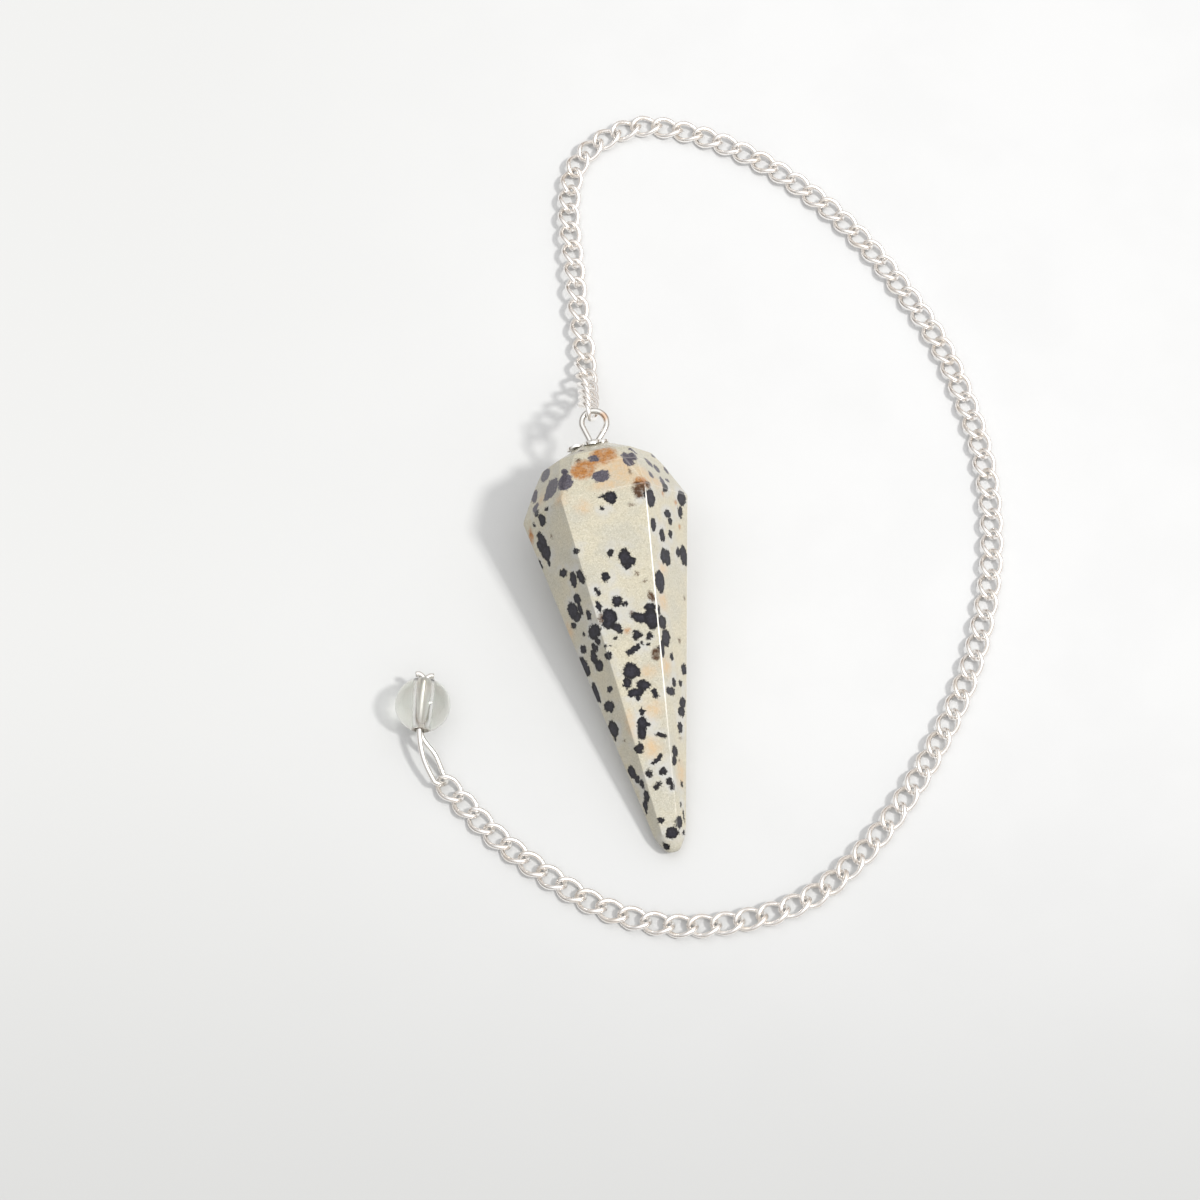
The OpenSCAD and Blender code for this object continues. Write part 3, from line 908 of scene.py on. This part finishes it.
@dataclass
class PetalCap:
    """Bead cap of thin sheet on the stone, its petals laid down the crown or curled off it.

    Attributes:
        width: Size over petals whose reach is one.
        wall: Thickness of the sheet.
        curl: Rise of the rim of a petal whose lift is one.
        start: Side of the first petal in degrees, which is on top as the stone lies.
        lift: Share of the curl that each petal has.
        reach: Length of each petal, as a share of half the width.
        notch: Radius between the petals, as a share of half the width.
        bluntness: Power of the petals' wave, less than one for round ends.
        boss: Rise of the sheet round the pin.
        seat: Room between the sheet and the stone's table.
        rim_round: Rounding of the rims.
        steps: Points of the rim for each petal.
        rings: Rings of faces from the hole to the rim.
    """

    point: StonePoint
    width: float = 4.4
    wall: float = 0.3
    petals: int = 5
    curl: float = 0.5
    start: float = 270.0
    lift: tuple[float, ...] = (-0.22, 0.6, 1.0, 0.8, 0.2)
    reach: tuple[float, ...] = (1.45, 0.9, 1.0, 1.0, 1.3)
    notch: float = 0.6
    bluntness: float = 0.7
    boss: float = 0.1
    seat: float = 0.08
    rim_round: float = 0.07
    steps: int = 20
    rings: int = 10
    finish: BrightPlate = BrightPlate("silver plated sheet", film=0.2)

    def skin(self, angle: float, share: float) -> Vector:
        """Give a point of the sheet's lower side.

        Args:
            angle: Side in degrees.
            share: Share of the way from the hole to the rim.

        Returns:
            The point in the upright stone's frame.
        """
        point, hole = self.point, self.point.hole_radius
        petal = abs(math.cos(math.radians(self.petals * (angle - self.start) / 2))) ** self.bluntness
        number = round((angle - self.start + 360) / 360 * self.petals) % self.petals
        rim = self.width / 2 * (self.notch + (self.reach[number] - self.notch) * petal)
        radius = hole + (rim - hole) * share
        side = math.radians(angle)
        flat = Vector((point.hole_aside + radius * math.cos(side), radius * math.sin(side), 0))
        table, tier = point.table_width / 2, point.crown[-1]
        fall = point.crown_height * (1 - tier[1]) / (point.width / 2 * tier[0] - table)
        drop = fall * max(0.0, flat.length - table - self.width / 16)
        flat.z = (point.crown_height + self.seat - drop + self.curl * petal * self.lift[number] * share**3
                  + self.boss * (1 - share)**2)
        return flat

    def build(self) -> None:
        """Draw the sheet from its hole outwards, then give it its wall and round its rims."""
        def side(spoke: Vector) -> float:
            """Give the side in degrees that a spoke points to."""
            return math.degrees(math.atan2(spoke.y, spoke.x))

        mesh, middle = bmesh.new(), Vector((self.point.hole_aside, 0, 0))
        loop = bmesh.ops.create_circle(mesh, cap_ends=False, segments=self.petals * self.steps,
                                       radius=1)["verts"]
        edges = edges_of(loop)
        for v in loop:
            v.co = self.skin(side(v.co), 0)
        for k in range(1, self.rings + 1):
            edges, fresh = extrude(mesh, edges)
            for v in fresh:
                v.co = self.skin(side(v.co - middle), k / self.rings)
        sheet = bmesh.ops.extrude_face_region(mesh, geom=mesh.faces[:])["geom"]
        bmesh.ops.translate(mesh, vec=(0, 0, self.wall),
                            verts=[g for g in sheet if isinstance(g, bmesh.types.BMVert)])
        bmesh.ops.recalc_face_normals(mesh, faces=mesh.faces)
        rims = [e for e in mesh.edges if e.is_manifold and e.calc_face_angle(0) > 1]
        bmesh.ops.bevel(mesh, geom=rims, offset=self.rim_round, segments=2, clamp_overlap=True, **ROUND)
        finish_piece("petal_bead_cap", mesh, self.point.lying(), Slot.CAP, self.finish.material(),
                     "petal_cap")


@dataclass
class EyePin:
    """Wire that stands in the capped stone and ends in an open eye.

    Attributes:
        wire: Thickness of the wire.
        eye_width: Width over the eye's wire.
        eye_height: Height of the eye from the neck.
        depth: How deep the pin stands in the stone.
        lean: Lean of the eye to the right, in degrees.
        pull: Place that the chain pulls at, in degrees from the eye's top.
        arc: Degrees of the eye's round on each side of its top.
        step: Degrees between its knots.
        gap: Room between wires that don't touch.
        end_round: Rounding of the two cut ends.
        painted_reflection_side: Way from the chain's pull to the middle of the painted warm reflection.
    """

    cap: PetalCap
    wire: float = 0.65
    eye_width: float = 3.4
    eye_height: float = 4.1
    depth: float = 6.0
    lean: float = 9.0
    pull: float = -25.0
    arc: int = 125
    step: int = 25
    gap: float = 0.1
    end_round: float = 0.06
    painted_reflection_side: tuple[float, float, float] = (1.6, -0.6, 0)
    finish: BrightPlate = BrightPlate("silver plated wire of the pin", silver="#d9d7d3")

    def neck(self) -> float:
        """Give the height where the wire leaves the cap."""
        return self.cap.point.crown_height + self.cap.seat + self.cap.boss + self.cap.wall + self.gap

    def eye(self, angle: float) -> Vector:
        """Give a point of the eye's round line.

        Args:
            angle: Degrees from the top of the eye.

        Returns:
            The point in the upright stone's frame.
        """
        rise = self.eye_height - self.eye_width / 2
        foot = self.cap.point.hole_aside + self.wire + 2 * self.gap
        lean, side = math.radians(self.lean), math.radians(angle + self.lean)
        centre = Vector(((self.cap.point.hole_aside + foot) / 2 + rise * math.sin(lean), 0,
                         self.neck() + rise * math.cos(lean)))
        return centre + (self.eye_width - self.wire) / 2 * Vector((math.sin(side), 0, math.cos(side)))

    def top(self) -> Vector:
        """Give the point that the chain pulls at, in millimetres of the scene."""
        return self.cap.point.lying() @ self.eye(self.pull) / MM

    def build(self) -> None:
        """Bend the wire: straight in the stone, then round to the open end."""
        point = self.cap.point
        neck, x = self.neck(), point.hole_aside
        deep = point.crown_height - self.depth
        knots = [Vector((x, 0, z)) for z in (deep, deep + self.depth / 2, neck)]
        knots += [self.eye(a) for a in range(-self.arc, self.arc + 1, self.step)]
        knots.append(Vector((x + self.wire + 2 * self.gap, 0, neck + self.wire / 2)))
        mesh = bmesh.new()
        sweep(mesh, path_stations(smooth(knots, 6), Vector((0, 1, 0))), self.wire / 2, 24,
              chamfer=self.end_round)
        # The eye gets a painted warm reflection beside the chain's pull
        finish_piece("eye_pin_wire", mesh, point.lying(), Slot.PIN,
                     self.finish.material(self.top() + Vector(self.painted_reflection_side)), "eye_pin")


# The chain's route, in the part source's round numbers: x, y and, where they aren't zero, the
# height above lying flat and the roll of the links about the route in degrees.
ROUTE = (
    (-25.8, -35.7, 0.05), (-22.5, -39.2), (-16.7, -43.8), (-10.4, -47.5), (-3.3, -49.2), (4.1, -48.5),
    (10.8, -46.1), (16.5, -41.2), (21.2, -35.1), (25, -28.7), (28.2, -21.9), (30.4, -15), (31.8, -7.6),
    (32.1, -0.5), (31.4, 6.8), (29.7, 13.7), (27.1, 20.8), (23.5, 27.2), (19.3, 33.4), (14.4, 38.9),
    (8.4, 43.8), (1.9, 47.4), (-5, 49.3), (-8.5, 48.8), (-11.7, 46.9), (-13.7, 44.7, 0, -2),
    (-14.7, 41.8, 0, -6), (-15, 38.5, 0, -11), (-14.9, 35.3, 0, -16), (-14.5, 31.5, 0, -23),
    (-14.1, 26.9, 0, -30), (-13.7, 23.4, 0, -24), (-13.3, 20.4, 0.05, -17), (-13.1, 17.9, 0.25, -17),
    (-12.9, 15.1, 1.3, -25), (-12.7, 11.8, 3.8, -35),
)


@dataclass
class CurbChain:
    """Twisted links, each hooked through the next, along the route.

    Attributes:
        wire: Thickness of the wire.
        room: Width left in a link beside its neighbour's wire.
        window: Length left open between the wires of both neighbours.
        play: Room along a link for each neighbour's wire.
        twist: Turn of a link from end to end, in degrees.
        gap: Room between wires that don't touch.
        stations: Rings round a link.
        sides: Sides of its wire.
        half_length: Half the length of a link's centreline.
        half_width: Half the width of a link's centreline.
        pitch: Distance from link to link.
    """

    wire: float = 0.55
    room: float = 1.05
    window: float = 1.1
    play: float = 0.28
    twist: float = 95.0
    gap: float = 0.1
    stations: int = 44
    sides: int = 12
    finish: BrightPlate = BrightPlate("silver plated chain wire", silver="#fdfaf7", tarnish="#e2cfb6",
                                      film=0.35, smooth=(0.18, 0.32))
    half_length: float = field(init=False)
    half_width: float = field(init=False)
    pitch: float = field(init=False)

    def __post_init__(self) -> None:
        """Work out the link's centreline and pitch."""
        inner = self.window + 2 * (self.wire + self.play)
        self.half_length = (inner + self.wire) / 2
        self.half_width = (self.wire + self.room + self.wire) / 2
        self.pitch = inner - self.play

    def line(self, angle: float) -> Vector:
        """Give a point of a link's centreline about its own centre.

        Args:
            angle: Place round the link in radians, from its front end.

        Returns:
            The point, with X along the chain.
        """
        x, y = self.half_length * math.cos(angle), self.half_width * math.sin(angle)
        t = -math.radians(self.twist) / 2 * x / self.half_length
        return Vector((x, y * math.cos(t), y * math.sin(t)))

    def resting(self, roll: float) -> float:
        """Give the height of a link's centre when it lies rolled about the chain."""
        r = math.radians(roll)
        return self.wire / 2 + max(abs(p.y * math.sin(r) + p.z * math.cos(r))
                                   for p in (self.line(math.radians(a)) for a in range(0, 360, 6)))

    def link(self) -> bpy.types.Mesh:
        """Bend one link from round wire.

        Returns:
            Its mesh about its own centre, in millimetres.
        """
        path = [self.line(2 * math.pi * k / self.stations) for k in range(self.stations)]
        frames = []
        for k, at in enumerate(path):
            way = (path[(k + 1) % self.stations] - path[k - 1]).normalized()
            frames.append(station(at, way, square_to(at, way)))
        mesh = bmesh.new()
        sweep(mesh, frames, self.wire / 2, self.sides, closed=True)
        bmesh.ops.recalc_face_normals(mesh, faces=mesh.faces)
        return to_data("one link", mesh)

    def places(self, bead_wire: BeadWire, pin: EyePin) -> list[Matrix]:
        """Spread the links along the route.

        Args:
            bead_wire: Wire that the first link hangs on.
            pin: Pin with the eye that the last link pulls at.

        Returns:
            One matrix for each link, in millimetres.
        """
        start, eye_top = bead_wire.turn_centre(), pin.top()
        end_roll = self.twist / 2 - 90
        knots = [Vector((start.x, start.y, start.z - self.resting(0), 0)),
                 *(Vector((*p, 0, 0)[:4]) for p in ROUTE),
                 Vector((eye_top.x, eye_top.y, eye_top.z - self.resting(end_roll), end_roll))]
        line = smooth(knots, 10)
        run = [0.0]
        for a, b in zip(line, line[1:]):
            run.append(run[-1] + (b.to_3d() - a.to_3d()).length)

        def at(distance: float) -> Vector:
            """Give the point of the line at a distance along it."""
            i = max(k for k in range(len(run) - 1) if run[k] <= distance)
            return line[i].lerp(line[i + 1], (distance - run[i]) / (run[i + 1] - run[i]))

        first, last = (self.half_length - self.wire / 2 - wire / 2 - 2 * self.gap
                       for wire in (bead_wire.wire, pin.wire))
        last = run[-1] - last
        count = round((last - first) / self.pitch) + 1
        knots = [at(first + (last - first) * i / (count - 1)) for i in range(count)]
        rolls = [k[3] for k in knots]
        centres = [Vector((k.x, k.y, max(0.0, k.z) + self.resting(r))) for k, r in zip(knots, rolls)]
        matrices = []
        for i, centre in enumerate(centres):
            behind = start if i == 0 else centres[i] if i == count - 1 else centres[i - 1]
            ahead = centres[i] if i == 0 else eye_top if i == count - 1 else centres[i + 1]
            way = (ahead - behind).normalized()
            left = Vector((0, 0, 1)).cross(way).normalized()
            axes = Matrix((way, left, way.cross(left))).transposed()
            roll = Matrix.Rotation(math.radians(rolls[i]), 3, "X")
            matrices.append(Matrix.Translation(centre) @ (axes @ roll).to_4x4())
        return matrices

    def build(self, bead_wire: BeadWire, pin: EyePin) -> None:
        """Lay a link at each place.

        Args:
            bead_wire: Wire that the first link hangs on.
            pin: Pin with the eye that the last link pulls at.
        """
        link, mesh, places = self.link(), bmesh.new(), self.places(bead_wire, pin)
        log.info("chain of %d links", len(places))
        for place in places:
            known = len(mesh.verts)
            mesh.from_mesh(link)
            bmesh.ops.transform(mesh, matrix=place, verts=mesh.verts[known:])
        bpy.data.meshes.remove(link)
        finish_piece("twisted_curb_chain", mesh, TO_METRES, Slot.CHAIN, self.finish.material(),
                     "curb_chain")


@dataclass
class EndBead:
    """Clear ball, drilled for both legs of its wire.

    Attributes:
        at: Place on the surface.
        turn: Turn of the hole to the right of the front, in degrees.
        dip: Dip of the hole towards the chain, in degrees.
        hole: Width of the hole.
        mouth: Size of the rounding of the hole's two edges.
        mouth_round: How far its middle lies from the sharp edge, across and along.
        steps: Steps of the outline from mouth to mouth, and steps round the hole.
    """

    diameter: float = 6.0
    at: tuple[float, float] = (-30.5, -25.0)
    turn: float = -3.0
    dip: float = 4.0
    hole: float = 1.5
    mouth: float = 0.12
    mouth_round: float = 0.03
    steps: tuple[int, int] = (40, 72)
    finish: ClearGlass = ClearGlass()

    def centre(self) -> Vector:
        """Give the bead's centre as it rests on the surface."""
        return Vector((*self.at, self.diameter / 2))

    def to_chain(self) -> Vector:
        """Give the direction of the hole towards the chain."""
        turn, dip = math.radians(self.turn), math.radians(self.dip)
        return Vector((math.sin(turn) * math.cos(dip), -math.cos(turn) * math.cos(dip), -math.sin(dip)))

    def build(self) -> None:
        """Spin the bead's outline round its hole."""
        r, bore = self.diameter / 2, self.hole / 2
        reach = math.asin((bore + self.mouth) / r)
        rim = math.sqrt(r * r - (bore + self.mouth)**2)
        along, around = self.steps
        outline = [Vector((r * math.sin(a), 0, r * math.cos(a)))
                   for a in (reach + (math.pi - 2 * reach) * k / along for k in range(along + 1))]
        lip, deep = self.mouth_round, self.mouth
        outline += [Vector((bore + lip, 0, lip - rim)), Vector((bore, 0, deep - rim))]
        outline += [Vector((bore, 0, rim - deep)), Vector((bore + lip, 0, rim - lip))]
        mesh = bmesh.new()
        verts = [mesh.verts.new(p) for p in outline]
        edges = [mesh.edges.new((a, b)) for a, b in zip(verts, verts[1:] + verts[:1])]
        bmesh.ops.spin(mesh, geom=verts + edges, cent=(0, 0, 0), axis=(0, 0, 1), angle=2 * math.pi,
                       steps=around, use_merge=True)
        turn = Euler((math.radians(90 + self.dip), 0, math.radians(self.turn))).to_matrix().to_4x4()
        glass = self.finish.material(self.centre() + self.to_chain() * rim, self.to_chain(), bore)
        finish_piece("clear_glass_bead", mesh, TO_METRES @ Matrix.Translation(self.centre()) @ turn,
                     Slot.BEAD, glass, "end_bead")


@dataclass
class BeadWire:
    """Wire that runs out of the bead, through the chain's first link and back.

    Attributes:
        wire: Thickness of the wire.
        turn_width: Inner width of the turn that holds the chain.
        stub: Length of the two bent ends.
        gap: Room between the legs.
        seat: Room between the bead and the bent ends.
        slant: Lean of the pair of legs in the hole, in degrees from lying side by side.
        bend_share: Size of the ends' bends, as a share of the wire.
        turn_at: Place of the turn's far point.
        bow: How far each leg bows to the right on its way to the turn.
        way_out: Direction of the turn, in degrees from the right round to the back.
        arc: Degrees of the turn on each side of its far point.
        step: Degrees between its knots.
        end_round: Rounding of the two cut ends.
    """

    bead: EndBead
    chain: CurbChain
    wire: float = 0.6
    turn_width: float = 1.4
    stub: float = 0.9
    gap: float = 0.1
    seat: float = 0.08
    slant: float = 75.0
    bend_share: float = 0.75
    turn_at: tuple[float, float] = (-28.1, -33.3)
    bow: tuple[float, float] = (-0.4, 0.3)
    way_out: float = -43.0
    arc: int = 75
    step: int = 25
    end_round: float = 0.08
    finish: BrightPlate = BrightPlate("silver plated wire of the bead", silver="#f1efeb", film=0.15,
                                      smooth=(0.16, 0.28))

    def cross_angle(self) -> float:
        """Give the slant of the turn, which the first link's end crosses squarely."""
        return math.radians(90 - self.chain.twist / 2)

    def turn_centre(self) -> Vector:
        """Give the far point of the wire's turn, in millimetres."""
        radius = (self.turn_width + self.wire) / 2
        return Vector((*self.turn_at, self.wire / 2 + radius * math.sin(self.cross_angle())))

    def build(self) -> None:
        """Bend the wire and round its two ends."""
        bead, radius = self.bead, (self.turn_width + self.wire) / 2
        out, centre = bead.to_chain(), bead.centre()
        slant, cross = math.radians(self.slant), self.cross_angle()
        leg = square_to(Vector((-math.cos(slant), 0, math.sin(slant))), out) * (self.wire + self.gap) / 2
        aim = math.radians(self.way_out)
        way = Vector((math.cos(aim), math.sin(aim), 0))
        left = Vector((0, 0, 1)).cross(way)
        rise = left * math.cos(cross) - Vector((0, 0, 1)) * math.sin(cross)
        back, bend = bead.diameter / 2 + self.wire / 2 + self.seat, self.wire * self.bend_share
        far = bead.diameter / 2 + self.wire / 2
        hub = self.turn_centre() - way * radius
        turn = [hub + radius * (way * math.cos(a) + rise * math.sin(a))
                for a in map(math.radians, range(-self.arc, self.arc + 1, self.step))]
        east = Vector((1, 0, 0))
        one, two = centre + leg, centre - leg
        knots = [one - out * back - east * s for s in (self.stub, bend)]
        knots += [one - out * (back - bend), one, one + out * far]
        knots.append((one + out * far + turn[0]) / 2 + east * self.bow[0])
        knots += turn
        knots.append((two + out * far + turn[-1]) / 2 + east * self.bow[1])
        knots += [two + out * far, two, two - out * (back - bend)]
        knots += [two - out * back + east * s for s in (bend, self.stub)]
        mesh = bmesh.new()
        sweep(mesh, path_stations(smooth(knots, 8), Vector((0, 0, 1))), self.wire / 2, 24,
              chamfer=self.end_round)
        finish_piece("bead_wire", mesh, TO_METRES, Slot.BEAD_WIRE, self.finish.material(),
                     "bead_wire_loop")


# Studio


@dataclass
class Studio:
    """Board, camera and light as the photograph has them, in metres.

    Attributes:
        camera_tilt: Tilt of the view from straight down, in degrees.
        lens: Focal length in millimetres.
        key_way: Direction of the key lamp from the pendant.
        key_power: Strength of the key lamp.
        key_size: Width of the key lamp in the sky, in degrees.
        low_glow: Colour of the room near the horizon.
        high_glow: Colour of the room overhead.
        backdrop: Colour that the camera sees behind the board.
        board_half: Half the board's width.
    """

    camera_at: tuple[float, float, float] = (-0.0114, -0.15927, 0.33235)
    camera_tilt: float = 24.0
    lens: float = 99.0
    key_way: tuple[float, float, float] = (0.656, -0.226, 1.0)
    key_power: float = 1.66
    key_size: float = 6.5
    key_colour: str = "#fffdf9"
    low_glow: str = "#c8ac91"
    high_glow: str = "#fefefe"
    backdrop: str = "#f4f4f3"
    board_half: float = 1.5

    def build(self) -> None:
        """Set up the camera, the board, the world and the lamps."""
        self.place_camera()
        self.lay_board()
        self.light_world()
        self.hang_key()
        bpy.context.scene.view_settings.view_transform = "Standard"

    def place_camera(self) -> None:
        """Stand the camera where the photograph was taken, for a square frame."""
        data = bpy.data.cameras.new("camera")
        data.sensor_fit, data.sensor_width, data.lens = "HORIZONTAL", 36, self.lens
        data.clip_start, data.clip_end = 0.01, 20
        camera = bpy.context.scene.camera = put("camera", data)
        camera.location = self.camera_at
        camera.rotation_euler = (math.radians(self.camera_tilt), 0, 0)

    def lay_board(self) -> None:
        """Lay the board under the pendant."""
        mesh = bmesh.new()
        bmesh.ops.create_grid(mesh, x_segments=1, y_segments=1, size=self.board_half)
        board = put("board", to_data("board", mesh))
        board.data.materials.append(PaleBoard().material())

    def light_world(self) -> None:
        """Light the room: warm and dark near the horizon, bright overhead and to the right."""
        world = bpy.context.scene.world = bpy.data.worlds.new("soft room")
        world.use_nodes = True
        tree = world.node_tree
        way = add_node(tree, "TexCoord", output="Generated")
        x, _, z = add_node(tree, "SeparateXYZ", (way,)).node.outputs
        low, overhead, left = (add_node(tree, "MapRange", span, **SOFT) for span in (
            (z, 0.06, 0.36, 0.31, 0.84), (z, 0.6, 1, 0, 0.68), (x, -0.8, 0.3, -0.2, 0.05)))
        light = add_node(tree, "Math", (low, overhead), operation="ADD")
        light = add_node(tree, "Math", (light, left), operation="ADD")
        colour = coats(tree, self.low_glow, (self.high_glow, (z, 0.1, 0.5)))
        # The dark band near the horizon is for reflections, and the backdrop itself looks pale.
        seen = add_node(tree, "LightPath", output="Is Camera Ray")
        missing = add_node(tree, "Math", (0.86, light), operation="SUBTRACT")
        light = add_node(tree, "Math", (seen, missing, light), operation="MULTIPLY_ADD")
        fill(tree.nodes["Background"], (coats(tree, colour, (self.backdrop, seen)), light))

    def hang_key(self) -> None:
        """Hang the key lamp to the right, as small as the photograph's shadows ask."""
        data = bpy.data.lights.new("key", "SUN")
        data.energy, data.angle = self.key_power, math.radians(self.key_size)
        data.color = linear(self.key_colour)[:3]
        lamp = put("key", data)
        lamp.location = self.key_way
        lamp.rotation_euler = lamp.location.to_track_quat("Z", "Y").to_euler()


def main() -> None:
    """Set up the studio and build the pendant piece by piece."""
    logging.basicConfig(level=logging.INFO, format="%(name)s: %(message)s")
    point, chain, bead = StonePoint(), CurbChain(), EndBead()
    cap, bead_wire = PetalCap(point), BeadWire(bead, chain)
    pin = EyePin(cap)
    Studio().build()
    point.build()
    cap.build()
    pin.build()
    chain.build(bead_wire, pin)
    bead.build()
    bead_wire.build()


if __name__ == "__main__":
    main()
